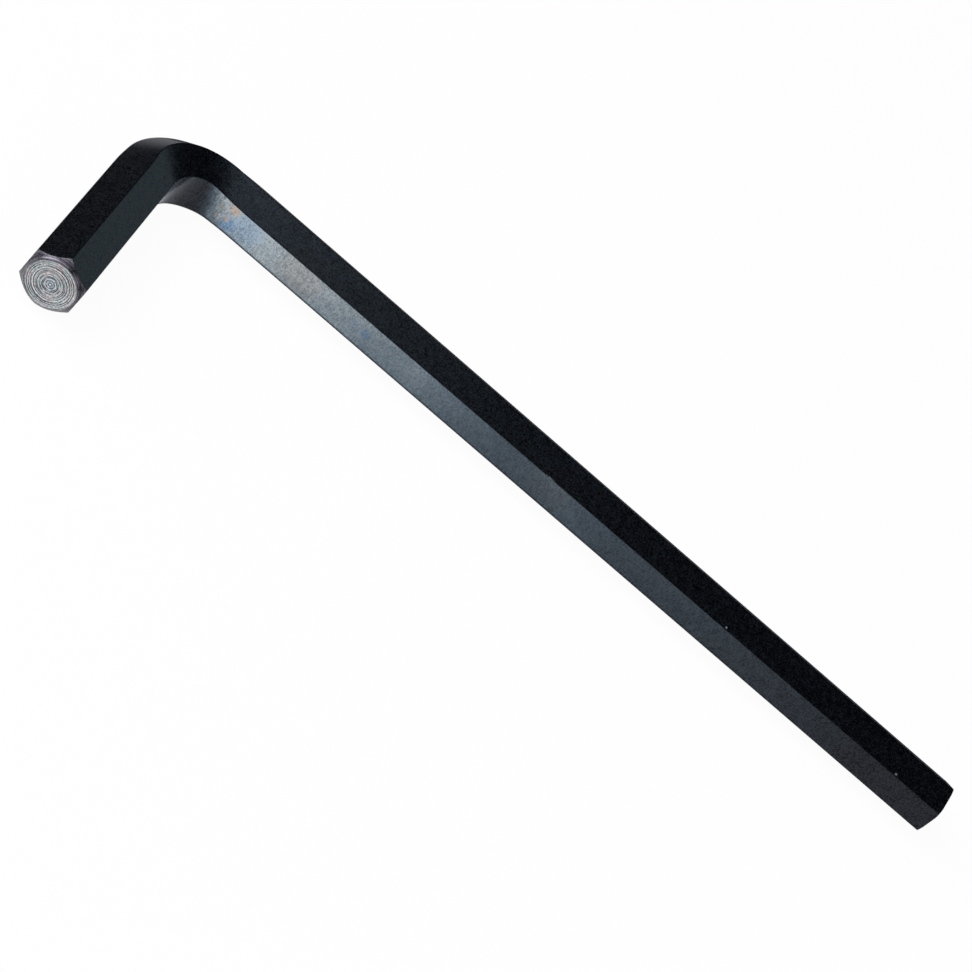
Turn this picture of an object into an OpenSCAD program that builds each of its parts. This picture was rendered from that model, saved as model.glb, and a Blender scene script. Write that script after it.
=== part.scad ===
// Hex key: one length of hexagonal steel bar, bent once, with a turned chamfer on each tip.
// The key lies flat on its lower long edges at Z = 0. The long arm runs along +X and the
// short arm towards -Y, and the origin is the middle of the footprint.

/* [Bar] */
// Width across the flats of the bar, which is the size of the socket that the key drives
across_flats = 4; // [1.5:0.5:12]
// Radius that the drawn bar has along its six long edges
edge_r = 0.08; // [0.05:0.01:0.3]

/* [Arms] */
// Length of the long arm, from its tip to the outside of the short arm
long_arm = 75; // [50:1:150]
// Length of the short arm, from its tip to the outside of the long arm
short_arm = 23; // [20:0.5:60]

/* [Bend] */
// Radius of the inner flat where the bar is bent
bend_r = 3.1; // [2:0.1:5]
// Distance by which bending draws in the outer flat, at the middle of the bend
outer_thinning = 0.38; // [0:0.01:0.45]
// Distance by which bending swells each inner edge sideways, at the middle of the bend
inner_swell = 0.34; // [0:0.01:0.45]
// Distance by which the top and bottom edges lag outwards, at the middle of the bend
side_lag = 0.27; // [0:0.01:0.4]
// Length of straight bar on each side of the bend that is still marked by the bending
runout = 2.2; // [0.5:0.1:4]

/* [Tips] */
// Width of the short tip's chamfer, measured inwards from the corners of the bar
short_chamfer_w = 0.48; // [0.1:0.01:0.6]
// Slope of the short tip's chamfer, measured from its flat turned face
short_chamfer_slope = 47; // [15:1:60]
// Width of the long tip's chamfer, measured inwards from the corners of the bar
long_chamfer_w = 0.18; // [0.1:0.01:0.6]
// Slope of the long tip's chamfer, measured from its flat turned face
long_chamfer_slope = 20; // [15:1:60]

/* [Hidden] */

// Facets round each rounded long edge, and round the turned tips
edge_facets = 4;
turning_facets = 96;
// Sections that carry the bar round the bend
bend_stations = 44;
// Clearance of the turning profile beyond the corners and below the cut end of an arm
turning_margin = 0.5;

sides = 6;
right_angle = 90;
half_flats = across_flats / 2;
half_corner_angle = 180 / sides;
sharp_corner_r = half_flats / cos(half_corner_angle);
corner_r = (half_flats - edge_r) / cos(half_corner_angle) + edge_r;

// The bend runs about one centre. Its length is measured along the middle of the bar.
middle_r = bend_r + half_flats;
bend_length = PI * middle_r * right_angle / 180;
worked_length = bend_length + 2 * runout;
straight_start = middle_r + runout;

// How bending moves each corner, as [towards the inside of the bend, upwards]. The corners
// are counted round the bar from the upper inner one.
bending = [
    [0, inner_swell],
    [-side_lag, 0],
    [outer_thinning, 0],
    [outer_thinning, 0],
    [-side_lag, 0],
    [0, -inner_swell]
];

function unit(v) = v / norm(v);
function within(value, low, high) = min(max(value, low), high);

// Corner of the bar's section, once bending has done the share `worked` of its work
function corner(i, worked) =
    let (angle = half_corner_angle * (2 * i + 1))
    sharp_corner_r * [cos(angle), sin(angle)] + worked * bending[i];

// The arc that rounds a corner, between the directions towards its two neighbours
function rounding(tip, before, after) =
    let (
        to_before = unit(before - tip),
        to_after = unit(after - tip),
        half_angle = acos(to_before * to_after) / 2,
        inwards = unit(to_before + to_after),
        centre = tip + edge_r / sin(half_angle) * inwards,
        outwards = atan2(-inwards[1], -inwards[0]),
        half_arc = right_angle - half_angle
    )
    [
        for (step = [0 : edge_facets])
            let (angle = outwards + half_arc * (2 * step / edge_facets - 1))
            centre + edge_r * [cos(angle), sin(angle)]
    ];

// Outline of the bar's section, as points [towards the inside of the bend, upwards]
function section(worked) = [
    for (i = [0 : sides - 1])
        each rounding(
            corner(i, worked),
            corner((i + sides - 1) % sides, worked),
            corner((i + 1) % sides, worked)
        )
];

// Share of the bending that shows at a distance along the bar from the start of the bend
function worked_share(along) = pow(sin(180 * (along + runout) / worked_length), 2);

// A section's point set in its place round the bend. The middle lines of the two arms
// would meet at [0, 0, 0].
function bent(along, point) =
    let (
        turn = right_angle * within(along / bend_length, 0, 1),
        before_bend = min(along, 0),
        after_bend = max(along - bend_length, 0),
        r = middle_r - point[0]
    )
    [
        middle_r - r * cos(turn) + after_bend,
        r * sin(turn) - middle_r + before_bend,
        point[1]
    ];

// The six-sided bar worked round the bend, out to where both arms are plain bar again
module bend() {
    stations = [
        for (i = [0 : bend_stations])
            worked_length * i / bend_stations - runout
    ];
    ring = len(section(0));
    rings = [
        for (along = stations)
            for (point = section(worked_share(along)))
                bent(along, point)
    ];
    skin = [
        for (i = [0 : bend_stations - 1], j = [0 : ring - 1])
            let (
                next = (j + 1) % ring,
                here = i * ring,
                there = here + ring
            )
            [here + j, here + next, there + next, there + j]
    ];
    first_end = [for (j = [0 : ring - 1]) ring - 1 - j];
    last_end = [for (j = [0 : ring - 1]) bend_stations * ring + j];
    polyhedron(points = rings, faces = concat(skin, [first_end, last_end]));
}

// Solid of revolution that the lathe leaves: a flat end face with a cone behind it
module turned_end(reach, chamfer_w, chamfer_slope) {
    face_r = corner_r - chamfer_w;
    clear_r = sharp_corner_r + turning_margin;
    cone_length = (clear_r - face_r) * tan(chamfer_slope);
    rotate_extrude($fn = turning_facets)
        polygon([
            [0, -turning_margin],
            [clear_r, -turning_margin],
            [clear_r, reach - cone_length],
            [face_r, reach],
            [0, reach]
        ]);
}

// Straight bar along +Z, from the end of the worked stretch to a chamfered tip
module arm(length, chamfer_w, chamfer_slope) {
    reach = length - half_flats - straight_start;
    intersection() {
        linear_extrude(height = reach)
            polygon(section(0));
        turned_end(reach, chamfer_w, chamfer_slope);
    }
}

module hex_key() {
    color([0.13, 0.14, 0.15])
        translate([half_flats - long_arm / 2, short_arm / 2 - half_flats, corner_r]) {
            bend();
            translate([straight_start, 0, 0])
                rotate([right_angle, 0, right_angle])
                    arm(long_arm, long_chamfer_w, long_chamfer_slope);
            translate([0, -straight_start, 0])
                rotate([right_angle, 0, 0])
                    arm(short_arm, short_chamfer_w, short_chamfer_slope);
        }
}

hex_key();
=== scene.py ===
import math

import bmesh
import bpy
import numpy as np
from mathutils import Matrix, Vector


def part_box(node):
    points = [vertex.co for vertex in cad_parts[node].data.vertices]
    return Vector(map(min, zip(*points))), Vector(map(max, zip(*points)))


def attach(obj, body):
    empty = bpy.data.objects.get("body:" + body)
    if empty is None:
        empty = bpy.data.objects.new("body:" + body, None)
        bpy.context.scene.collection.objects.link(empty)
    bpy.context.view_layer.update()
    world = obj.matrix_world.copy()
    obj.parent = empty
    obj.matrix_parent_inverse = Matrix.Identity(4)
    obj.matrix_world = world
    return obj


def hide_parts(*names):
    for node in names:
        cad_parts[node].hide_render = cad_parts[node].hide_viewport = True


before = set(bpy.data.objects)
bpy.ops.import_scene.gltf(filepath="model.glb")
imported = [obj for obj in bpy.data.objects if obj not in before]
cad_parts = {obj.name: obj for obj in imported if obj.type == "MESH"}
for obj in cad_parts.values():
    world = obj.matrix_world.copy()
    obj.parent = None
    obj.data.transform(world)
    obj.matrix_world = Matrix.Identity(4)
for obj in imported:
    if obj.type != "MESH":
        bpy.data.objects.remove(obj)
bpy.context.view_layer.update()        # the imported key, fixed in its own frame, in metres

bl_info = {
    "name": "Bent hexagonal key",
    "version": (1, 0, 0),
    "blender": (4, 5, 0),
    "location": "View3D > Sidebar > Hex Key",
    "description": "Builds a blackened steel hex key with turned tips, its floor, lights and camera",
    "category": "Object",
}

MM = 0.001
KEY_LOW, KEY_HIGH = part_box("hex_key")
LONG_ARM = KEY_HIGH[0] - KEY_LOW[0]
SHORT_ARM = KEY_HIGH[1] - KEY_LOW[1]

SIDES = 6
RIGHT_ANGLE = math.pi / 2
# Half of the angle from one corner of the bar to the next
HALF_CORNER = math.pi / SIDES


# Properties

class KeySizes(bpy.types.PropertyGroup):
    """Sizes of the bar, the bend and the two tips."""
    across_flats: bpy.props.FloatProperty(
        name="Across flats", description="Width of the bar across its flats",
        default=4.0 * MM, min=1.0 * MM, unit="LENGTH", precision=5)
    edge_r: bpy.props.FloatProperty(
        name="Edge radius", description="Radius along the six long edges",
        default=0.08 * MM, min=0.02 * MM, unit="LENGTH", precision=5)
    long_arm: bpy.props.FloatProperty(
        name="Long arm", description="From the long tip to the outside of the short arm",
        default=LONG_ARM, unit="LENGTH", precision=5)
    short_arm: bpy.props.FloatProperty(
        name="Short arm", description="From the short tip to the outside of the long arm",
        default=SHORT_ARM, unit="LENGTH", precision=5)
    bend_r: bpy.props.FloatProperty(
        name="Bend radius", description="Radius of the inner flat where the bar is bent",
        default=3.1 * MM, unit="LENGTH", precision=5)
    outer_thinning: bpy.props.FloatProperty(
        name="Outer thinning", description="How far bending draws in the outer flat",
        default=0.38 * MM, min=0.0, unit="LENGTH", precision=5)
    inner_swell: bpy.props.FloatProperty(
        name="Inner swell", description="How far bending swells each inner edge sideways",
        default=0.34 * MM, min=0.0, unit="LENGTH", precision=5)
    side_lag: bpy.props.FloatProperty(
        name="Side lag", description="How far the top and bottom edges lag outwards",
        default=0.27 * MM, min=0.0, unit="LENGTH", precision=5)
    runout: bpy.props.FloatProperty(
        name="Run-out", description="Straight bar on each side that the bending still marks",
        default=2.2 * MM, min=0.1 * MM, unit="LENGTH", precision=5)
    short_chamfer_w: bpy.props.FloatProperty(
        name="Short chamfer", description="Width of the short tip's chamfer at the corners",
        default=0.48 * MM, min=0.0, unit="LENGTH", precision=5)
    short_chamfer_slope: bpy.props.FloatProperty(
        name="Short chamfer slope", description="Slope of the short tip's chamfer from its face",
        default=math.radians(47.0), subtype="ANGLE")
    long_chamfer_w: bpy.props.FloatProperty(
        name="Long chamfer", description="Width of the long tip's chamfer at the corners",
        default=0.18 * MM, min=0.0, unit="LENGTH", precision=5)
    long_chamfer_slope: bpy.props.FloatProperty(
        name="Long chamfer slope", description="Slope of the long tip's chamfer from its face",
        default=math.radians(20.0), subtype="ANGLE")
    groove_pitch: bpy.props.FloatProperty(
        name="Groove pitch", description="Spacing of the turning marks on the tips",
        default=0.145 * MM, min=0.02 * MM, unit="LENGTH", precision=6)
    groove_depth: bpy.props.FloatProperty(
        name="Groove depth", description="Mean depth round the deepest turning marks",
        default=0.020 * MM, min=0.001 * MM, unit="LENGTH", precision=6)


class KeyFinish(bpy.types.PropertyGroup):
    """Colours of the blackened and the bare steel."""
    oxide_colour: bpy.props.FloatVectorProperty(
        name="Black oxide", description="Colour of the black oxide finish",
        subtype="COLOR", size=4, min=0.0, max=1.0, default=(0.0008, 0.0008, 0.0014, 1.0))
    # Painted sheen: steel shown where the rubbing and painted sheen of the inner flat are full
    rubbed_colour: bpy.props.FloatVectorProperty(
        name="Rubbed steel", description="Steel where the oxide is rubbed thin by the bending die",
        subtype="COLOR", size=4, min=0.0, max=1.0, default=(0.425, 0.485, 0.525, 1.0))
    # Painted sheen: steel shown where the rubbing and painted sheen are faint, as thin oxide
    faint_rub_and_sheen_colour: bpy.props.FloatVectorProperty(
        name="Thin oxide", description="Steel that shows through oxide that is only rubbed a little",
        subtype="COLOR", size=4, min=0.0, max=1.0, default=(0.34, 0.48, 0.60, 1.0))
    straw_colour: bpy.props.FloatVectorProperty(
        name="Straw tint", description="Straw tint that heat leaves beside the bend",
        subtype="COLOR", size=4, min=0.0, max=1.0, default=(0.56, 0.47, 0.41, 1.0))
    blue_colour: bpy.props.FloatVectorProperty(
        name="Blue tint", description="Blue tint that heat leaves beside the straw tint",
        subtype="COLOR", size=4, min=0.0, max=1.0, default=(0.26, 0.41, 0.61, 1.0))
    bare_colour: bpy.props.FloatVectorProperty(
        name="Bare steel", description="Freshly turned steel on the tip",
        subtype="COLOR", size=4, min=0.0, max=1.0, default=(0.56, 0.58, 0.61, 1.0))


class StageSettings(bpy.types.PropertyGroup):
    """Floor and camera."""
    floor_colour: bpy.props.FloatVectorProperty(
        name="Floor colour", description="Colour of the plain floor",
        subtype="COLOR", size=4, min=0.0, max=1.0, default=(0.92, 0.92, 0.92, 1.0))
    floor_size: bpy.props.FloatProperty(
        name="Floor size", description="Side of the square floor",
        default=8.0, unit="LENGTH")
    camera_azimuth: bpy.props.FloatProperty(
        name="Camera azimuth", description="Direction of view, turned from +Y towards +X",
        default=math.radians(11.79), subtype="ANGLE")
    camera_elevation: bpy.props.FloatProperty(
        name="Camera elevation", description="How far the camera looks down",
        default=math.radians(33.41), subtype="ANGLE")
    camera_roll: bpy.props.FloatProperty(
        name="Camera roll", description="How far the picture is turned about the line of sight",
        default=math.radians(47.22), subtype="ANGLE")
    camera_distance: bpy.props.FloatProperty(
        name="Camera distance", description="From the camera to the point that it looks at",
        default=192.92 * MM, unit="LENGTH", precision=5)
    camera_target: bpy.props.FloatVectorProperty(
        name="Camera target", description="Point that the camera looks at",
        size=3, subtype="TRANSLATION", precision=5, default=(-4.04 * MM, 3.21 * MM, 2.30 * MM))
    camera_lens: bpy.props.FloatProperty(
        name="Camera lens", description="Focal length in millimetres on a 36 mm sensor",
        default=103.83, min=1.0, unit="CAMERA")


# The bar as geometry

# A point of the section has two coordinates: towards the inside of the bend, and up. Corners
# and flats are counted from the inside of the bend upwards; flat i follows corner i.
UPPER_FLAT, INNER_FLAT = 0, 5
# Facets of a rounded edge, and the steps across a flat at which it has points
ARC_FACETS = 8
FLAT_STEPS = (0.025, 0.07, 0.2, 0.32, 0.44, 0.56, 0.68, 0.8, 0.93, 0.975)
# Rings of each arm and of the bend, and the distance from a tip within which there are none
SHORT_STATIONS, BEND_STATIONS, LONG_STATIONS = 12, 73, 40
CLEAR_OF_TIP = 1.3 * MM
# Painted shade: step across the inner flat, from its lower edge, at which the die's rubbing and the
# painted sheen are full; below it the flat is left darker, standing in for a dark reflection along
# its lower edge
DARK_LOWER_MARGIN = 0.07
# Painted highlight: how far the die's rubbing and the painted sheen reach round the rounded edge
# above the inner flat, from that flat outwards, making a bright line along that edge that fades away
# from the bend
EDGE_HIGHLIGHT_SPREAD = (1.0, 0.9, 0.6, 0.25, 0.0)
# Painted sheen: share of the inner flat's rubbing and painted sheen that reaches the flats beside it
SHEEN_BESIDE = 0.02


def unit(vector):
    return vector / np.linalg.norm(vector)


def bell(distance):
    """A bell curve that is 1 at its middle; the distance is given in spreads."""
    return np.exp(-0.5 * distance ** 2)


def eased(share):
    """Turns a straight rise from 0 to 1 into one that starts and ends gently."""
    return share ** 2 * (3 - 2 * share)


class Bar:
    """The bent bar: its section, its path and its places, worked out from the sizes."""

    def __init__(self, sizes):
        self.sizes = sizes
        self.half_flats = sizes.across_flats / 2
        self.sharp_r = self.half_flats / math.cos(HALF_CORNER)
        self.corner_r = (self.half_flats - sizes.edge_r) / math.cos(HALF_CORNER) + sizes.edge_r
        self.middle_r = sizes.bend_r + self.half_flats
        self.bend_length = self.middle_r * RIGHT_ANGLE
        self.worked_length = self.bend_length + 2 * sizes.runout
        # Distances along the middle of the bar from the start of the bend to each tip
        self.short_end = -(sizes.short_arm - self.half_flats - self.middle_r)
        self.long_end = self.bend_length + sizes.long_arm - self.half_flats - self.middle_r
        # Where the middle lines of the two arms would meet
        self.elbow = Vector((KEY_LOW[0] + self.half_flats, KEY_HIGH[1] - self.half_flats,
                             KEY_LOW[2] + self.corner_r))
        # How the bending moves each corner of the section where it is worked most
        swell, lag, thin = sizes.inner_swell, sizes.side_lag, sizes.outer_thinning
        self.bending = np.array([[0, swell], [-lag, 0], [thin, 0],
                                 [thin, 0], [-lag, 0], [0, -swell]])

    def corner(self, i, worked):
        """Sharp corner of the section; `worked` goes from 0 on a straight arm to 1 in the bend."""
        angle = HALF_CORNER * (2 * i + 1)
        plain = self.sharp_r * np.array([math.cos(angle), math.sin(angle)])
        return plain + worked * self.bending[i % SIDES]

    def rounding(self, i, worked):
        """Points of the arc that rounds one corner of the section."""
        tip = self.corner(i, worked)
        to_before = unit(self.corner((i - 1) % SIDES, worked) - tip)
        to_after = unit(self.corner((i + 1) % SIDES, worked) - tip)
        half_angle = math.acos(float(to_before @ to_after)) / 2
        inwards = unit(to_before + to_after)
        centre = tip + self.sizes.edge_r / math.sin(half_angle) * inwards
        outwards = math.atan2(-inwards[1], -inwards[0])
        half_arc = RIGHT_ANGLE - half_angle
        angles = outwards + half_arc * np.linspace(-1, 1, ARC_FACETS + 1)
        return centre + self.sizes.edge_r * np.stack([np.cos(angles), np.sin(angles)], 1)

    def section(self, worked):
        """Outline of the section: an arc, then the points of the flat behind it, six times."""
        arcs = [self.rounding(i, worked) for i in range(SIDES)]
        outline = []
        for i, arc in enumerate(arcs):
            start, end = arc[-1], arcs[(i + 1) % SIDES][0]
            outline.extend(arc)
            outline.extend(start + step * (end - start) for step in FLAT_STEPS)
        return np.array(outline)

    def edge_mask(self):
        """1 on the rounded edges and 0 on the flats, for each point of the section."""
        side = [1.0] * (ARC_FACETS + 1) + [0.0] * len(FLAT_STEPS)
        return np.array(side * SIDES)

    def rub_mask(self):
        """How far the bending die's rubbing and the painted sheen reach each point of the section:
        fully on the inner flat, with painted shade along its lower edge and a painted highlight on
        the edge above it.
        """
        flats = np.zeros((SIDES, len(FLAT_STEPS)))
        flats[INNER_FLAT] = np.interp(FLAT_STEPS, (0.0, DARK_LOWER_MARGIN), (0.0, 1.0))
        flats[[INNER_FLAT - 1, UPPER_FLAT]] = SHEEN_BESIDE
        # The corner that the upper flat follows is the edge above the inner flat
        arcs = np.zeros((SIDES, ARC_FACETS + 1))
        arcs[UPPER_FLAT, :len(EDGE_HIGHLIGHT_SPREAD)] = EDGE_HIGHLIGHT_SPREAD
        return np.concatenate([part for arc, flat in zip(arcs, flats) for part in (arc, flat)])

    def worked_share(self, along):
        """How far bending works the bar at a distance along it: 0 on the arms, 1 in mid-bend."""
        share = (along + self.sizes.runout) / self.worked_length
        return math.sin(math.pi * min(max(share, 0.0), 1.0)) ** 2

    def on_flat(self, flat, along, across):
        """Place on a flat, at a distance along the bar and across from the flat's middle."""
        angle = 2 * HALF_CORNER * (flat + 1)
        out = np.array([math.cos(angle), math.sin(angle)])
        sideways = np.array([-out[1], out[0]])
        point = self.half_flats * out + across * sideways
        return tuple(self.place(np.array([along]), point[None, :])[0])

    def place(self, along, points):
        """Section points set in their place along the bar; `along` has one value a point."""
        turn = RIGHT_ANGLE * np.clip(along / self.bend_length, 0, 1)
        before = np.minimum(along, 0)
        after = np.maximum(along - self.bend_length, 0)
        r = self.middle_r - points[:, 0]
        x = self.middle_r - r * np.cos(turn) + after
        y = r * np.sin(turn) - self.middle_r + before
        return np.stack([x + self.elbow[0], y + self.elbow[1], points[:, 1] + self.elbow[2]], 1)

    def stations(self):
        """Distances along the bar of its plain rings, closest together round the bend."""
        worked_from = -self.sizes.runout
        worked_to = self.bend_length + self.sizes.runout
        short = np.linspace(self.short_end + CLEAR_OF_TIP, worked_from, SHORT_STATIONS)
        bend = np.linspace(worked_from, worked_to, BEND_STATIONS)
        long = np.linspace(worked_to, self.long_end - CLEAR_OF_TIP, LONG_STATIONS)
        return np.concatenate([short, bend[1:-1], long])


SHORT_TIP_SEED, LONG_TIP_SEED = 11, 29
# How far a mark strays from even spacing, and its least and most spread, in spacings
MARK_STRAY, MARK_SPREADS = 0.22, (0.10, 0.19)
# Mean depth of the shallowest mark, as a share of the deepest one's
SHALLOWEST = 0.4
# Fewest and most places round a mark where it runs deep, and the share by which it is deeper
FEWEST_LOBES, MOST_LOBES, LOBE_SWING = 2, 6, 0.55
# Depth of the dimple at the centre, as a share of the set depth, and its spread in spacings
DIMPLE_DEPTH, DIMPLE_SPREAD = 0.3, 0.4


def turning_marks(seed, outer_r, pitch, depth):
    """Gives a function for the depth of the lathe tool's marks at a distance and angle."""
    random = np.random.default_rng(seed)
    count = int(outer_r / pitch)
    radii = pitch * (np.arange(1, count + 1) + random.uniform(-MARK_STRAY, MARK_STRAY, count))
    depths = depth * random.uniform(SHALLOWEST, 1.0, count)
    spreads = pitch * random.uniform(*MARK_SPREADS, count)
    lobes = random.integers(FEWEST_LOBES, MOST_LOBES + 1, count)
    phases = random.uniform(0, 2 * math.pi, count)

    def marks(r, angle):
        total = DIMPLE_DEPTH * depth * bell(r / (DIMPLE_SPREAD * pitch))
        for mark_r, mark_depth, spread, lobe, phase in zip(radii, depths, spreads, lobes, phases):
            swing = 1 + LOBE_SWING * np.sin(lobe * angle + phase)
            total = total + swing * mark_depth * bell((r - mark_r) / spread)
        return total
    return marks


class MeshRows:
    """Collects rows of vertices, with the masks that the materials read, and joins them.

    The masks are: distance along the bar, rounded edges, the die's rubbing with painted sheen,
    highlight and shade, distance from the bar's axis, depth of the turning marks as a share of the
    set one, and dark scale with the cone's painted shade and highlight.
    """

    def __init__(self):
        self.points, self.faces, self.finish = [], [], []
        self.masks = {"along": [], "edge": [], "rub": [], "radius": [], "groove": [], "dull": []}

    def add_row(self, points, **masks):
        """Adds a row; a mask that isn't given is 0 there. Returns the row's vertex numbers."""
        first = sum(len(row) for row in self.points)
        count = len(points)
        self.points.append(points)
        for name, values in self.masks.items():
            values.append(np.broadcast_to(masks.get(name, 0.0), count))
        return np.arange(first, first + count)

    def join(self, row, other, finish):
        """Faces between two rows. Where the rows share a point, the face is a triangle."""
        count = len(row)
        for j in range(count):
            k = (j + 1) % count
            corners = dict.fromkeys((row[j], row[k], other[k], other[j]))
            if len(corners) > 2:
                self.faces.append(tuple(corners))
                self.finish.append(finish)

    def fan(self, row, middle, finish):
        """Triangles from a row to one vertex in its middle."""
        count = len(row)
        for j in range(count):
            self.faces.append((row[j], row[(j + 1) % count], middle))
            self.finish.append(finish)


# Slots of the two materials on the mesh
BLACKENED, BARE = 0, 1
# Distances behind the cone of the rings that keep its border crisp
SIDE_SUPPORTS = (0.0, 0.012 * MM, 0.05 * MM)
# Width below which a flat has cut the cone away
SAME_POINT = 1e-4 * MM
# Steps across the cone, from the sides inwards; the finish changes at the first of them
CONE_STEPS = (0.05, 0.15, 0.28, 0.4, 0.52, 0.64, 0.76, 0.88, 0.95, 1.0)
# Rings of the turned faces, and those at the rim over which the marks reach their depth
SHORT_FACE_RINGS, LONG_FACE_RINGS, RIM_RINGS = 210, 120, 6
# Depth of the marks on the cone, as a share of those on the face
CONE_MARKS = 0.35
# Painted highlight: how much less dull the cone is made at its outline, standing in for the light
# that its rounded border catches, and the step across it where that ends
CONE_HIGHLIGHT, CONE_HIGHLIGHT_END = 0.2, 0.35
# Painted shade: side of a tip whose cone is dullest, up and into the bend, where it is made darker
# for the darker surroundings that it mirrors there; the cosines of the angle from it between which
# the cone gets duller; and the least dullness, on the lit side
SHADED_SIDE = np.array([math.cos(2 * HALF_CORNER), math.sin(2 * HALF_CORNER)])
SHADE_FROM, SHADE_TO, DULL_ON_LIT_SIDE = -0.6, 0.3, 0.8
# Width of the band inside the rim of a turned face over which the scale thins out, and the
# share by which it is wider on the side that faces out of the bend
SCALE_FADE, SCALE_LEAN = 0.14 * MM, 0.8


def build_tip(rows, bar, end, towards, chamfer_w, slope, marks, face_rings):
    """Rows of one tip, from the side rings, which it returns, to the middle of its face.

    `end` is the tip's distance along the bar, and `towards` is 1 or -1, the way that it faces.
    """
    outline = bar.section(0.0)
    rho = np.linalg.norm(outline, axis=1)
    angle = np.arctan2(outline[:, 1], outline[:, 0])
    rim = np.minimum(rho, bar.corner_r - chamfer_w)
    edge, rub = bar.edge_mask(), bar.rub_mask()
    set_depth = bar.sizes.groove_depth
    # Painted shade: the cone is made darker on the side up and into the bend, over its real dull
    # scale
    towards_dull = np.clip((outline @ SHADED_SIDE / rho - SHADE_FROM) / (SHADE_TO - SHADE_FROM), 0, 1)
    dull = DULL_ON_LIT_SIDE + (1 - DULL_ON_LIT_SIDE) * eased(towards_dull)
    scale_fade = SCALE_FADE * (1 - SCALE_LEAN * outline[:, 0] / rho)

    def ring(radius, back, groove=0.0, **masks):
        points = bar.place(end - towards * back, outline * (radius / rho)[:, None])
        return rows.add_row(points, along=end - towards * back, radius=radius,
                            groove=groove / set_depth, **masks)

    side = [ring(rho, (rho - rim) * math.tan(slope) + support, edge=edge, rub=rub)
            for support in reversed(SIDE_SUPPORTS)]
    last = side[-1]
    # A ring of the cone keeps the side's points where the flats cut the cone away
    narrow = rho - rim < SAME_POINT
    for step in CONE_STEPS:
        radius = rho + step * (rim - rho)
        groove = marks(radius, angle)
        # The marks fade out towards both borders of the cone and are full midway
        fade = 4 * step * (1 - step)
        back = (radius - rim) * math.tan(slope) + CONE_MARKS * fade * groove
        # Painted highlight: the cone is made less dull along its outline
        highlight = CONE_HIGHLIGHT * max(0.0, 1 - step / CONE_HIGHLIGHT_END)
        worn = ring(radius, back, groove, dull=dull * (1 - highlight))
        fresh = np.where(narrow, last, worn)
        rows.join(last, fresh, BLACKENED if step == CONE_STEPS[0] else BARE)
        last = fresh
    for i in range(1, face_rings):
        radius = rim * (1 - i / face_rings)
        groove = marks(radius, angle)
        scale = dull * np.clip(1 - (rim - radius) / scale_fade, 0, 1)
        fresh = ring(radius, groove * min(1.0, i / RIM_RINGS), groove, dull=scale)
        rows.join(last, fresh, BARE)
        last = fresh
    centre = marks(np.zeros(1), np.zeros(1))
    along = end - towards * centre
    middle = rows.add_row(bar.place(along, np.zeros((1, 2))), along=along,
                          groove=centre / set_depth)
    rows.fan(last, middle[0], BARE)
    return side


def build_key_mesh(sizes):
    """Makes one mesh of the whole key, with its masks as attributes. Returns it and its bar."""
    bar = Bar(sizes)
    rows = MeshRows()
    marks = turning_marks(SHORT_TIP_SEED, bar.corner_r, sizes.groove_pitch, sizes.groove_depth)
    short_side = build_tip(rows, bar, bar.short_end, -1, sizes.short_chamfer_w,
                           sizes.short_chamfer_slope, marks, SHORT_FACE_RINGS)
    edge, rub = bar.edge_mask(), bar.rub_mask()
    body = []
    for along in bar.stations():
        outline = bar.section(bar.worked_share(along))
        points = bar.place(np.full(len(outline), along), outline)
        radius = np.linalg.norm(outline, axis=1)
        body.append(rows.add_row(points, along=along, edge=edge, rub=rub, radius=radius))
    marks = turning_marks(LONG_TIP_SEED, bar.corner_r, sizes.groove_pitch, sizes.groove_depth)
    long_side = build_tip(rows, bar, bar.long_end, 1, sizes.long_chamfer_w,
                          sizes.long_chamfer_slope, marks, LONG_FACE_RINGS)
    chain = short_side[::-1] + body + long_side
    for row, other in zip(chain, chain[1:]):
        rows.join(row, other, BLACKENED)

    mesh = bpy.data.meshes.new("hex_key_steel")
    points = np.concatenate(rows.points)
    mesh.from_pydata(points.tolist(), [], [tuple(int(v) for v in face) for face in rows.faces])
    mesh.polygons.foreach_set("material_index", rows.finish)
    for name, values in rows.masks.items():
        layer = mesh.attributes.new(name, "FLOAT", "POINT")
        layer.data.foreach_set("value", np.concatenate(values).astype(np.float32))
    return mesh, bar


def clean_and_face_outwards(mesh):
    """Removes loose points, turns every face outwards and raises an error at an open edge."""
    work = bmesh.new()
    work.from_mesh(mesh)
    loose = [v for v in work.verts if not v.link_faces]
    bmesh.ops.delete(work, geom=loose, context="VERTS")
    bmesh.ops.recalc_face_normals(work, faces=work.faces)
    if work.calc_volume(signed=True) < 0:
        bmesh.ops.reverse_faces(work, faces=work.faces)
    open_edges = [e for e in work.edges if not e.is_manifold]
    work.to_mesh(mesh)
    work.free()
    if open_edges:
        raise RuntimeError(f"the key's mesh has {len(open_edges)} open edges")


# Shader nodes

# Inputs and output of the Mix node that carry colours
MIX_FIRST, MIX_SECOND, MIX_RESULT = 6, 7, 2


def feed(tree, socket, value):
    """Gives an input its value, or links it if it is given another node's socket."""
    if isinstance(value, bpy.types.NodeSocket):
        tree.links.new(value, socket)
    else:
        socket.default_value = value


def add_node(tree, kind, inputs=None, **settings):
    made = tree.nodes.new(kind)
    for name, value in settings.items():
        setattr(made, name, value)
    for name, value in (inputs or {}).items():
        feed(tree, made.inputs[name], value)
    return made


def new_group(name, inputs, outputs):
    """An empty shader node group with named sockets: (name, kind, default) and (name, kind)."""
    group = bpy.data.node_groups.new(name, "ShaderNodeTree")
    for socket, kind, default in inputs:
        made = group.interface.new_socket(socket, in_out="INPUT", socket_type=kind)
        made.default_value = default
    for socket, kind in outputs:
        group.interface.new_socket(socket, in_out="OUTPUT", socket_type=kind)
    return group, group.nodes.new("NodeGroupInput"), group.nodes.new("NodeGroupOutput")


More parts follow.
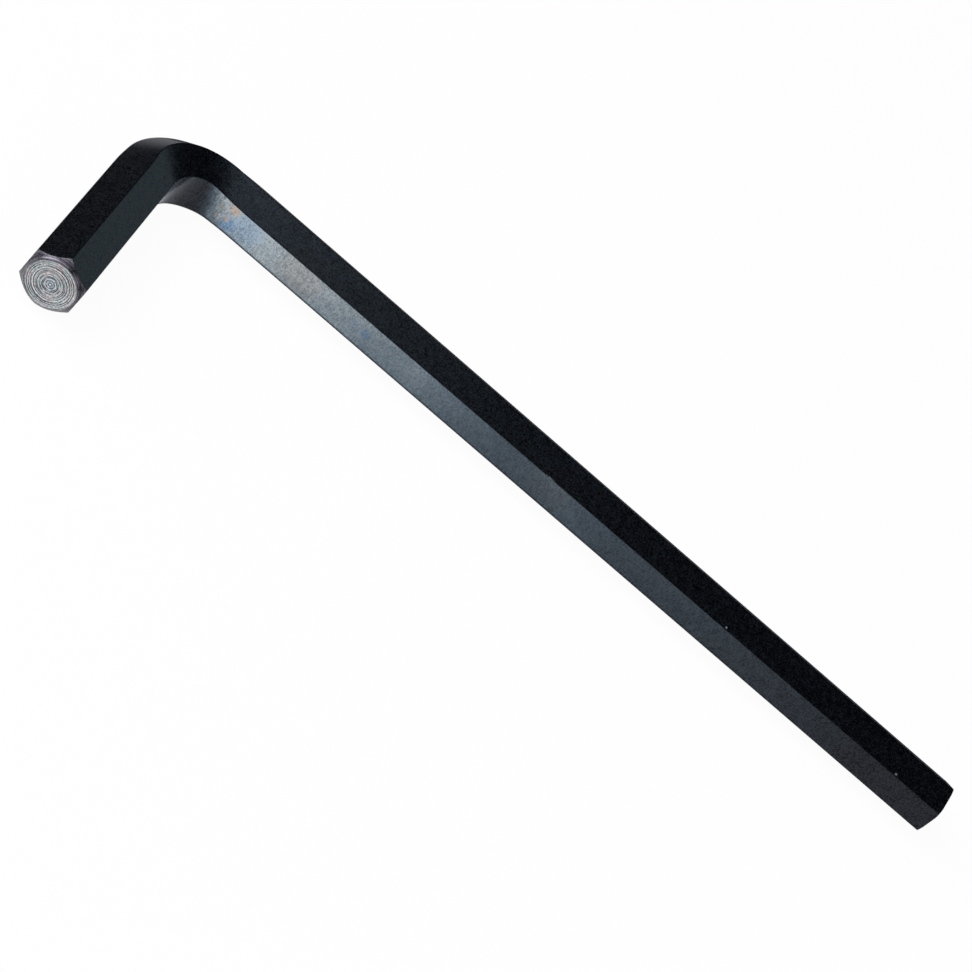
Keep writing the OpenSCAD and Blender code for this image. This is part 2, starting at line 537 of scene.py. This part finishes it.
def place_group(tree, name, inputs):
    made = tree.nodes.new("ShaderNodeGroup")
    made.node_tree = bpy.data.node_groups[name]
    for socket, value in inputs.items():
        feed(tree, made.inputs[socket], value)
    return made


def math_node(tree, operation, a, b, clamp=False):
    made = add_node(tree, "ShaderNodeMath", {0: a, 1: b}, operation=operation, use_clamp=clamp)
    return made.outputs[0]


def about_half(tree, value, spread):
    """How far a value lies from one half, times a spread."""
    return math_node(tree, "MULTIPLY", math_node(tree, "SUBTRACT", value, 0.5), spread)


def attribute(tree, name):
    """One of the mesh's own masks."""
    return add_node(tree, "ShaderNodeAttribute", attribute_name=name).outputs["Fac"]


def own_place(tree):
    """Places on the key itself, in metres, so that a pattern stays with it."""
    return add_node(tree, "ShaderNodeTexCoord").outputs["Object"]


def noise(tree, place, scale, detail, roughness):
    return add_node(tree, "ShaderNodeTexNoise", {"Vector": place, "Scale": scale, "Detail": detail,
                                                 "Roughness": roughness}).outputs["Fac"]


def mix_colour(tree, factor, a, b, blend_type="MIX"):
    made = add_node(tree, "ShaderNodeMix", data_type="RGBA", blend_type=blend_type)
    feed(tree, made.inputs["Factor"], factor)
    feed(tree, made.inputs[MIX_FIRST], a)
    feed(tree, made.inputs[MIX_SECOND], b)
    return made.outputs[MIX_RESULT]


def ramp(tree, factor, stops):
    """A colour ramp; a stop is (position, grey level) or (position, colour)."""
    made = tree.nodes.new("ShaderNodeValToRGB")
    elements = made.color_ramp.elements
    while len(elements) < len(stops):
        elements.new(0.5)
    for element, (position, value) in zip(elements, stops):
        element.position = position
        element.color = (value, value, value, 1.0) if isinstance(value, float) else value
    tree.links.new(factor, made.inputs["Fac"])
    return made.outputs["Color"]


# Node groups

# Noises: scale in waves a metre, detail and roughness. The patches' scale is a group input
FINE_GRAIN, BROAD_GRAIN = (8500.0, 2.0, 0.6), (2200.0, 4.0, 0.55)
SPOT_EDGE = (2600.0, 4.0, 0.65)
WEAR_PATCHES = (5.0, 0.65)
# Share of the fine grain in the mottling; the broad grain is the rest
FINE_SHARE = 0.75
# Levels of the patch noise between which an edge turns from whole to worn
WORN_PATCHES = ((0.42, 0.0), (0.62, 1.0))


def build_grain_group():
    """Fine mottled grain of drawn steel: a value about 0.5, and a height for bump."""
    group, entry, leave = new_group(
        "steel_grain",
        [("Scale", "NodeSocketFloat", 1.0), ("Contrast", "NodeSocketFloat", 1.0)],
        [("Value", "NodeSocketFloat"), ("Height", "NodeSocketFloat")])
    scaled = add_node(group, "ShaderNodeVectorMath",
                      {0: own_place(group), "Scale": entry.outputs["Scale"]}, operation="SCALE")
    fine = noise(group, scaled.outputs[0], *FINE_GRAIN)
    broad = noise(group, scaled.outputs[0], *BROAD_GRAIN)
    both = math_node(group, "ADD", math_node(group, "MULTIPLY", fine, FINE_SHARE),
                     math_node(group, "MULTIPLY", broad, 1 - FINE_SHARE))
    spread = about_half(group, both, entry.outputs["Contrast"])
    feed(group, leave.inputs["Value"], math_node(group, "ADD", spread, 0.5, clamp=True))
    feed(group, leave.inputs["Height"], both)


def build_edge_wear_group():
    """Broken wear along the edges, from the mesh's own edge mask."""
    group, entry, leave = new_group(
        "edge_wear",
        [("Amount", "NodeSocketFloat", 0.5), ("Patch Scale", "NodeSocketFloat", 400.0)],
        [("Wear", "NodeSocketFloat")])
    patches = noise(group, own_place(group), entry.outputs["Patch Scale"], *WEAR_PATCHES)
    broken = ramp(group, patches, WORN_PATCHES)
    worn = math_node(group, "MULTIPLY", attribute(group, "edge"), broken)
    worn = math_node(group, "MULTIPLY", worn, entry.outputs["Amount"], clamp=True)
    feed(group, leave.inputs["Wear"], worn)


def build_spot_group():
    """A round spot with a soft or ragged outline: a tint, a chip or a pit."""
    group, entry, leave = new_group(
        "soft_spot",
        [("Centre", "NodeSocketVector", (0.0, 0.0, 0.0)), ("Radius", "NodeSocketFloat", 1.0 * MM),
         ("Softness", "NodeSocketFloat", 0.5), ("Raggedness", "NodeSocketFloat", 0.0)],
        [("Mask", "NodeSocketFloat")])
    place = own_place(group)
    distance = add_node(group, "ShaderNodeVectorMath", {0: place, 1: entry.outputs["Centre"]},
                        operation="DISTANCE").outputs["Value"]
    reach = math_node(group, "DIVIDE", distance, entry.outputs["Radius"])
    ragged = about_half(group, noise(group, place, *SPOT_EDGE), entry.outputs["Raggedness"])
    from_rim = math_node(group, "SUBTRACT", 1.0, math_node(group, "ADD", reach, ragged))
    scaled = math_node(group, "DIVIDE", from_rim, entry.outputs["Softness"])
    feed(group, leave.inputs["Mask"], math_node(group, "ADD", scaled, 0.5, clamp=True))


# Materials

BUMP_STRENGTH, BUMP_DISTANCE = 0.5, 0.02 * MM
WHITE = (1.0, 1.0, 1.0, 1.0)


def new_material(name):
    material = bpy.data.materials.new(name)
    material.use_nodes = True
    material.node_tree.nodes.clear()
    return material, material.node_tree


def end_with(tree, shader):
    """Makes a shader the material's surface."""
    out = add_node(tree, "ShaderNodeOutputMaterial")
    tree.links.new(shader.outputs[0], out.inputs["Surface"])


def grain_bump(tree, height):
    """Normals of a surface with the grain's relief."""
    bump = add_node(tree, "ShaderNodeBump",
                    {"Height": height, "Strength": BUMP_STRENGTH, "Distance": BUMP_DISTANCE})
    return bump.outputs["Normal"]


# Painted sheen, with some real rubbing by the die near the bend: how bare the inner flat is made, by
# the share of the way from the bend to the long tip; its long fall-off along the arm stands in for
# light reflected near the bend
SHEEN_AND_RUB_ALONG = ((0.030, 0.0), (0.042, 0.09), (0.056, 0.38), (0.070, 0.70), (0.083, 0.85), (0.110, 0.89),
          (0.139, 0.66), (0.195, 0.55), (0.222, 0.47), (0.264, 0.36), (0.306, 0.33), (0.362, 0.19),
          (0.431, 0.115), (0.500, 0.13), (0.570, 0.075), (0.709, 0.045), (0.780, 0.030), (0.90, 0.0))
# Where the die burnishes the inner flat in the bend, by the share of the bend's length
BURNISHED = ((0.0, 0.0), (0.08, 1.0), (0.60, 1.0), (0.85, 0.0))
# Painted sheen: how bare the inner flat is made in the bend, by the share of the bend's length,
# standing in for the bright reflection inside the bend near the short arm
SHEEN_IN_BEND = ((0.0, 0.03), (0.10, 0.18), (0.20, 0.11), (0.30, 0.04), (0.45, 0.02), (0.90, 0.0))
# Heat tints on the inner flat: distance along, height and radius in millimetres, strength
STRAW_PATCHES = ((9.3, 0.85, 0.40, 0.9), (9.15, -0.15, 0.24, 0.75), (8.4, 0.45, 0.22, 0.35),
                 (8.5, -0.40, 0.18, 0.4), (15.6, 0.35, 1.5, 0.3), (38.6, 0.6, 1.6, 0.2))
BLUE_PATCHES = ((9.5, -0.45, 0.58, 1.0), (10.6, 0.1, 1.2, 0.5), (21.6, 0.13, 0.34, 0.95),
                (20.6, 0.2, 0.3, 0.35))
# Where the edge above the inner flat is chipped, given as the tints are
BARED_EDGE = ((37.7, 1.155, 0.5, 0.9),)
# Chips in the oxide, and a pit, on the flat above: distance along, across, radius, strength
CHIPS = ((54.7, -0.98, 0.08, 0.65), (71.4, -0.99, 0.085, 0.65))
PITS = ((-0.7, -0.28, 0.07, 1.0),)
PIT_DEPTH = 4.0
# Softness and raggedness of the outlines of these spots
STRAW_OUTLINE, BLUE_OUTLINE, BARED_OUTLINE = (0.9, 1.3), (1.1, 1.1), (0.9, 0.8)
CHIP_OUTLINE, PIT_OUTLINE = (0.5, 0.6), (0.6, 0.4)
# Noises in the rubbing and painted sheen, and the share of the streaks' scale that is left along the
# height, which draws them out across the bar
STREAKS, CLOUDS = (5200.0, 4.0, 0.7), (420.0, 3.0, 0.6)
STREAK_STRETCH = 0.3
# How ragged they make the front of the rubbing and painted sheen, in the share that
# SHEEN_AND_RUB_ALONG goes by
FRONT_STREAKS, FRONT_CLOUDS = 0.016, 0.02
# How much sooner it starts a metre further up the flat, and how much barer it is there: painted
# shade, lighter towards the flat's upper edge and darker towards its lower one
SOONER_ABOVE, SHEEN_RISE_ABOVE = 0.006 / MM, 0.15 / MM
# How strongly the streaks, the clouds and the grain break it up
STREAK_STRENGTH, CLOUD_STRENGTH, GRAIN_STRENGTH = 1.5, 0.55, 1.1
# By the grain's level: bare specks in the oxide, specks that don't shine, and how rough the
# oxide is where it is satin and where the die has burnished it
SPECKS = ((0.50, 0.0), (0.85, 0.014))
FLECKS = ((0.24, 0.72), (0.55, 0.0))
SATIN = ((0.2, 0.23), (0.8, 0.35))
SMOOTH = ((0.2, 0.06), (0.8, 0.15))
# Share of rubbing and painted sheen from which no fleck is left
FLECKLESS = 0.25
# How matt the oxide's fine crust gets as it turns edge on to the eye
EDGE_ON = ((0.52, 0.0), (0.72, 0.15), (0.86, 0.24), (0.94, 1.0))
# Levels of the rubbing and painted sheen between which the thin oxide's colour gives way to the
# rubbed steel's
FAINT_RUB_AND_SHEEN_UP_TO, FULL_RUB_AND_SHEEN_FROM = 0.1, 0.6
OXIDE_GLOSS, OXIDE_GLOSS_TINT = 0.365, (0.74, 0.81, 1.0, 1.0)


def spots(tree, bar, flat, patches, softness, raggedness):
    """The strongest of several spots on one flat of the bar."""
    strongest = None
    for along, across, radius, strength in patches:
        centre = bar.on_flat(flat, along * MM, across * MM)
        spot = place_group(tree, "soft_spot", {"Centre": centre, "Radius": radius * MM,
                                               "Softness": softness, "Raggedness": raggedness})
        mask = math_node(tree, "MULTIPLY", spot.outputs["Mask"], strength)
        strongest = mask if strongest is None else math_node(tree, "MAXIMUM", strongest, mask)
    return strongest


def rubbed_by_die(tree, bar, grain):
    """How far the oxide is rubbed away, with streaks across the bar where the die slid, together with
    the painted sheen and shade that the same mask carries.
    """
    along = attribute(tree, "along")
    place = own_place(tree)
    height = add_node(tree, "ShaderNodeSeparateXYZ", {0: place}).outputs["Z"]
    drawn_out = add_node(tree, "ShaderNodeMapping",
                         {"Vector": place, "Scale": (1.0, 1.0, STREAK_STRETCH)}).outputs[0]
    streaks = noise(tree, drawn_out, *STREAKS)
    clouds = noise(tree, place, *CLOUDS)
    mid_bend = bar.bend_length / 2
    share = math_node(tree, "DIVIDE", math_node(tree, "SUBTRACT", along, mid_bend),
                      bar.long_end - mid_bend)
    # The rubbing starts sooner near the upper edge, behind a ragged front
    above = math_node(tree, "SUBTRACT", height, bar.corner_r)
    share = math_node(tree, "ADD", share, math_node(tree, "MULTIPLY", above, SOONER_ABOVE))
    for pattern, raggedness in ((streaks, FRONT_STREAKS), (clouds, FRONT_CLOUDS)):
        share = math_node(tree, "ADD", share, about_half(tree, pattern, raggedness))
    in_bend = math_node(tree, "DIVIDE", along, bar.bend_length)
    # Painted sheen along the arm and in the bend, over the die's rubbing near the bend
    both = math_node(tree, "ADD", ramp(tree, share, SHEEN_AND_RUB_ALONG), ramp(tree, in_bend, SHEEN_IN_BEND))
    rubbed = math_node(tree, "MULTIPLY", both, attribute(tree, "rub"))
    # Painted shade: barer, so brighter, higher up the flat and darker lower down
    rise = math_node(tree, "ADD", math_node(tree, "MULTIPLY", above, SHEEN_RISE_ABOVE), 1.0)
    rubbed = math_node(tree, "MULTIPLY", rubbed, rise)
    for pattern, strength in ((streaks, STREAK_STRENGTH), (clouds, CLOUD_STRENGTH),
                              (grain, GRAIN_STRENGTH)):
        level = math_node(tree, "ADD", about_half(tree, pattern, strength), 1.0)
        rubbed = math_node(tree, "MULTIPLY", rubbed, level)
    return rubbed


def burnished_by_die(tree, bar):
    """1 where the die has burnished the inner flat smooth, inside the bend."""
    in_bend = math_node(tree, "DIVIDE", attribute(tree, "along"), bar.bend_length)
    return math_node(tree, "MULTIPLY", ramp(tree, in_bend, BURNISHED), attribute(tree, "rub"))


def blackened_steel(finish, bar):
    """Black oxide over drawn steel, rubbed thin and heat tinted beside the bend, with painted sheen,
    highlight and shade on and beside the inner flat.
    """
    material, tree = new_material("blackened_steel")
    grain = place_group(tree, "steel_grain", {"Scale": 1.0, "Contrast": 2.0})
    bared = spots(tree, bar, INNER_FLAT, BARED_EDGE, *BARED_OUTLINE)
    wear = place_group(tree, "edge_wear", {"Amount": bared, "Patch Scale": 900.0})
    # This mask is mostly painted sheen: as metal it makes the inner flat shine brightly near the
    # bend, fading along the arm
    rubbed = rubbed_by_die(tree, bar, grain.outputs["Value"])
    specks = ramp(tree, grain.outputs["Value"], SPECKS)
    # Flecks of oxide that don't shine: metallic, with the oxide's black as their colour
    flecks = ramp(tree, grain.outputs["Value"], FLECKS)
    left = math_node(tree, "SUBTRACT", 1.0, math_node(tree, "DIVIDE", rubbed, FLECKLESS), clamp=True)
    flecks = math_node(tree, "MULTIPLY", flecks, left)
    chips = spots(tree, bar, UPPER_FLAT, CHIPS, *CHIP_OUTLINE)
    chipped = math_node(tree, "MAXIMUM", wear.outputs["Wear"], chips)
    metal = math_node(tree, "ADD", rubbed, specks, clamp=True)
    metal = math_node(tree, "MAXIMUM", metal, chipped)

    straw = spots(tree, bar, INNER_FLAT, STRAW_PATCHES, *STRAW_OUTLINE)
    blue = spots(tree, bar, INNER_FLAT, BLUE_PATCHES, *BLUE_OUTLINE)
    thin = ramp(tree, rubbed, ((FAINT_RUB_AND_SHEEN_UP_TO, tuple(finish.faint_rub_and_sheen_colour)),
                               (FULL_RUB_AND_SHEEN_FROM, tuple(finish.rubbed_colour))))
    steel = mix_colour(tree, blue, thin, tuple(finish.blue_colour))
    steel = mix_colour(tree, straw, steel, tuple(finish.straw_colour))
    steel = mix_colour(tree, chipped, steel, tuple(finish.bare_colour))
    base = mix_colour(tree, metal, tuple(finish.oxide_colour), steel)

    satin = ramp(tree, grain.outputs["Value"], SATIN)
    facing = add_node(tree, "ShaderNodeLayerWeight", {"Blend": 0.5}).outputs["Facing"]
    rough = mix_colour(tree, ramp(tree, facing, EDGE_ON), satin, WHITE)
    smooth = ramp(tree, grain.outputs["Value"], SMOOTH)
    rough = mix_colour(tree, burnished_by_die(tree, bar), rough, smooth)
    pits = spots(tree, bar, UPPER_FLAT, PITS, *PIT_OUTLINE)
    relief = math_node(tree, "SUBTRACT", grain.outputs["Height"],
                       math_node(tree, "MULTIPLY", pits, PIT_DEPTH))
    end_with(tree, add_node(tree, "ShaderNodeBsdfPrincipled", {
        "Base Color": base, "Metallic": math_node(tree, "MAXIMUM", metal, flecks),
        "Roughness": rough, "IOR": 1.5, "Specular IOR Level": OXIDE_GLOSS,
        "Specular Tint": OXIDE_GLOSS_TINT, "Normal": grain_bump(tree, relief)}))
    return material


# Noises on a turned face, given as those above
TINT_PATCHES, NICKS = (1300.0, 3.0, 0.55), (5200.0, 2.0, 0.6)
# Tints of the turned steel on both sides of its plain colour, and at the centre of the face
COOL_STEEL, WARM_STEEL = (0.46, 0.52, 0.53, 1.0), (0.60, 0.545, 0.56, 1.0)
CENTRE_STEEL = (0.54, 0.63, 0.73, 1.0)
COOL_UP_TO, WARM_FROM = 0.36, 0.64
# How far the centre's tint reaches, by the share of the corner's distance from the axis
CENTRE_TINT = ((0.12, 0.6), (0.30, 0.0))
# Hair lines between the axis and the corner, and how each darkens or brightens the steel
HAIR_LINES = 26.0
HAIR_LEVELS = ((0.34, 0.30), (0.5, 0.80), (0.66, 1.7))
# How far nicks wipe out the hair lines, and the level that they leave there
NICKED = ((0.40, 0.0), (0.58, 0.85))
NICK_LEVEL = (0.9, 0.9, 0.9, 1.0)
# How black scale darkens the marks, by their depth
SCALE_IN_MARKS = ((0.0, 1.0), (0.2, 0.78), (0.5, 0.36), (0.9, 0.16))
# Colour of the dull scale, striped along the hair lines
DULL_STRIPES = ((0.36, (0.030, 0.027, 0.037, 1.0)), (0.5, (0.075, 0.068, 0.088, 1.0)),
                (0.62, (0.17, 0.16, 0.185, 1.0)))
# How the grain shades the turned steel, and how rough it makes it
GRAIN_SHADE = ((0.1, 0.52), (0.9, 1.38))
TURNED_ROUGHNESS = ((0.2, 0.24), (0.8, 0.38))


def bare_steel(finish, bar):
    """Turned steel on the tips: ringed bright face, dark scale on the cone with painted shade and a
    painted highlight, faint tints.
    """
    material, tree = new_material("bare_steel")
    grain = place_group(tree, "steel_grain", {"Scale": 1.0, "Contrast": 2.4})
    place = own_place(tree)
    share = math_node(tree, "DIVIDE", attribute(tree, "radius"), bar.corner_r)
    tint = ramp(tree, noise(tree, place, *TINT_PATCHES),
                ((COOL_UP_TO, COOL_STEEL), (0.5, tuple(finish.bare_colour)), (WARM_FROM, WARM_STEEL)))
    tint = mix_colour(tree, ramp(tree, share, CENTRE_TINT), tint, CENTRE_STEEL)

    # Black scale stays in the marks, and fine hair lines run beside them
    hair = add_node(tree, "ShaderNodeTexNoise",
                    {"W": math_node(tree, "MULTIPLY", share, HAIR_LINES), "Scale": 1.0,
                     "Detail": 2.0, "Roughness": 0.7}, noise_dimensions="1D").outputs["Fac"]
    nicks = ramp(tree, noise(tree, place, *NICKS), NICKED)
    lines = mix_colour(tree, nicks, ramp(tree, hair, HAIR_LEVELS), NICK_LEVEL)
    scale = ramp(tree, attribute(tree, "groove"), SCALE_IN_MARKS)
    face = mix_colour(tree, 1.0, mix_colour(tree, 1.0, tint, lines, "MULTIPLY"), scale, "MULTIPLY")
    # The scale mask also carries the cone's painted shade and its painted highlight along the outline
    base = mix_colour(tree, attribute(tree, "dull"), face, ramp(tree, hair, DULL_STRIPES))
    shade = ramp(tree, grain.outputs["Value"], GRAIN_SHADE)
    base = mix_colour(tree, 1.0, base, shade, "MULTIPLY")
    end_with(tree, add_node(tree, "ShaderNodeBsdfPrincipled", {
        "Base Color": base, "Metallic": 1.0,
        "Roughness": ramp(tree, grain.outputs["Value"], TURNED_ROUGHNESS),
        "Normal": grain_bump(tree, grain.outputs["Height"])}))
    return material


# Share of plain white in the floor, as the camera and as the steel see it
GLOW_TO_CAMERA, GLOW_TO_STEEL = 0.96, 0.85


def floor_material(colour):
    """Pale floor: white to the camera and in the steel, less the object's soft shadow."""
    material, tree = new_material("floor_paper")
    path = add_node(tree, "ShaderNodeLightPath").outputs
    to_eye = math_node(tree, "MAXIMUM", path["Is Camera Ray"], path["Is Transmission Ray"])
    to_eye = math_node(tree, "MULTIPLY", to_eye, GLOW_TO_CAMERA)
    to_steel = math_node(tree, "MULTIPLY", path["Is Glossy Ray"], GLOW_TO_STEEL)
    share = math_node(tree, "MAXIMUM", to_eye, to_steel)
    diffuse = add_node(tree, "ShaderNodeBsdfDiffuse", {"Color": tuple(colour)})
    glow = add_node(tree, "ShaderNodeEmission", {"Color": WHITE, "Strength": 1.0})
    end_with(tree, add_node(tree, "ShaderNodeMixShader",
                            {0: share, 1: diffuse.outputs[0], 2: glow.outputs[0]}))
    return material


# Operators

class HEXKEY_OT_build_key(bpy.types.Operator):
    """Build the bent key as one closed mesh and give it its two finishes"""
    bl_idname = "hexkey.build_key"
    bl_label = "Build Key"

    def execute(self, context):
        sizes, finish = context.scene.hex_key_sizes, context.scene.hex_key_finish
        mesh, bar = build_key_mesh(sizes)
        clean_and_face_outwards(mesh)
        mesh.shade_smooth()
        key = bpy.data.objects.new("hex_key_steel", mesh)
        context.scene.collection.objects.link(key)
        build_grain_group()
        build_edge_wear_group()
        build_spot_group()
        mesh.materials.append(blackened_steel(finish, bar))
        mesh.materials.append(bare_steel(finish, bar))
        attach(key, "root")
        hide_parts("hex_key")
        return {"FINISHED"}


WORLD_COLOUR, WORLD_STRENGTH = (0.70, 0.80, 1.0, 1.0), 0.04
# Lamps, all aimed at the origin: name, place, width and height, radiance, colour
LAMPS = (
    ("left_softbox", (-0.42, -0.06, 0.32), (0.50, 0.46), 4.4, (1.0, 1.0, 1.0)),
    ("front_left_softbox", (-0.30, -0.44, 0.24), (0.42, 0.32), 2.8, (1.0, 1.0, 1.0)),
    ("front_top_softbox", (-0.06, -0.21, 0.30), (0.20, 0.08), 2.4, (1.0, 1.0, 1.0)),
    ("top_softbox", (-0.068, 0.0, 0.30), (0.11, 0.16), 1.15, (0.92, 1.0, 1.0)),
    ("back_card", (0.34, 0.46, 0.22), (0.38, 0.24), 0.60, (0.76, 0.97, 1.0)),
    ("right_card", (0.36, -0.17, 0.24), (0.30, 0.26), 1.3, (1.0, 1.0, 1.0)))
# Width of the camera's sensor, in millimetres, and the distances that it sees between
SENSOR_WIDTH = 36.0
NEAREST, FARTHEST = 0.01, 50.0


def aim(obj, place, target):
    """Sets an object at a place, with its -Z axis towards a target."""
    direction = Vector(target) - Vector(place)
    obj.rotation_euler = direction.to_track_quat("-Z", "Y").to_euler()
    obj.location = place


def add_lamp(context, name, place, size, radiance, colour):
    """A rectangular lamp whose surface has the given radiance, aimed at the origin."""
    lamp = bpy.data.lights.new(name, "AREA")
    lamp.shape = "RECTANGLE"
    lamp.size, lamp.size_y = size
    lamp.energy = radiance * math.pi * size[0] * size[1]
    lamp.color = colour
    softbox = bpy.data.objects.new(name, lamp)
    softbox.visible_camera = False
    context.scene.collection.objects.link(softbox)
    aim(softbox, place, (0.0, 0.0, 0.0))


class HEXKEY_OT_build_stage(bpy.types.Operator):
    """Lay the floor, set the lamps and the world, and place the camera"""
    bl_idname = "hexkey.build_stage"
    bl_label = "Build Stage"

    def execute(self, context):
        stage = context.scene.hex_key_stage
        self.lay_floor(context, stage)
        self.light_world(context)
        for lamp in LAMPS:
            add_lamp(context, *lamp)
        self.place_camera(context, stage)
        context.scene.view_settings.view_transform = "Standard"
        return {"FINISHED"}

    @staticmethod
    def lay_floor(context, stage):
        half = stage.floor_size / 2
        mesh = bpy.data.meshes.new("floor")
        mesh.from_pydata([(-half, -half, 0), (half, -half, 0), (half, half, 0), (-half, half, 0)],
                         [], [(0, 1, 2, 3)])
        mesh.materials.append(floor_material(stage.floor_colour))
        floor = bpy.data.objects.new("floor", mesh)
        context.scene.collection.objects.link(floor)

    @staticmethod
    def light_world(context):
        world = bpy.data.worlds.new("studio")
        world.use_nodes = True
        background = world.node_tree.nodes["Background"]
        background.inputs["Color"].default_value = WORLD_COLOUR
        background.inputs["Strength"].default_value = WORLD_STRENGTH
        context.scene.world = world

    @staticmethod
    def place_camera(context, stage):
        azimuth, elevation, roll = stage.camera_azimuth, stage.camera_elevation, stage.camera_roll
        forward = Vector((math.sin(azimuth) * math.cos(elevation),
                          math.cos(azimuth) * math.cos(elevation), -math.sin(elevation)))
        level_right = forward.cross(Vector((0, 0, 1))).normalized()
        level_up = level_right.cross(forward)
        right = math.cos(roll) * level_right + math.sin(roll) * level_up
        up = math.cos(roll) * level_up - math.sin(roll) * level_right
        place = Vector(stage.camera_target) - forward * stage.camera_distance
        lens = bpy.data.cameras.new("photo_camera")
        lens.sensor_width = SENSOR_WIDTH
        lens.lens = stage.camera_lens
        lens.clip_start = NEAREST
        lens.clip_end = FARTHEST
        camera = bpy.data.objects.new("photo_camera", lens)
        camera.matrix_world = Matrix((
            (right.x, up.x, -forward.x, place.x),
            (right.y, up.y, -forward.y, place.y),
            (right.z, up.z, -forward.z, place.z),
            (0, 0, 0, 1)))
        context.scene.collection.objects.link(camera)
        context.scene.camera = camera


class HEXKEY_PT_panel(bpy.types.Panel):
    """Sizes, finishes and stage of the hex key"""
    bl_label = "Hex Key"
    bl_idname = "HEXKEY_PT_panel"
    bl_space_type = "VIEW_3D"
    bl_region_type = "UI"
    bl_category = "Hex Key"

    def draw(self, context):
        layout = self.layout
        for settings in (context.scene.hex_key_sizes, context.scene.hex_key_finish,
                         context.scene.hex_key_stage):
            box = layout.box()
            for name in settings.__annotations__:
                box.prop(settings, name)
        layout.operator("hexkey.build_key")
        layout.operator("hexkey.build_stage")


CLASSES = (KeySizes, KeyFinish, StageSettings, HEXKEY_OT_build_key, HEXKEY_OT_build_stage,
           HEXKEY_PT_panel)


def register():
    for cls in CLASSES:
        bpy.utils.register_class(cls)
    bpy.types.Scene.hex_key_sizes = bpy.props.PointerProperty(type=KeySizes)
    bpy.types.Scene.hex_key_finish = bpy.props.PointerProperty(type=KeyFinish)
    bpy.types.Scene.hex_key_stage = bpy.props.PointerProperty(type=StageSettings)


def unregister():
    del bpy.types.Scene.hex_key_sizes
    del bpy.types.Scene.hex_key_finish
    del bpy.types.Scene.hex_key_stage
    for cls in reversed(CLASSES):
        bpy.utils.unregister_class(cls)


def main():
    register()
    bpy.ops.hexkey.build_key()
    bpy.ops.hexkey.build_stage()


if __name__ == "__main__":
    main()
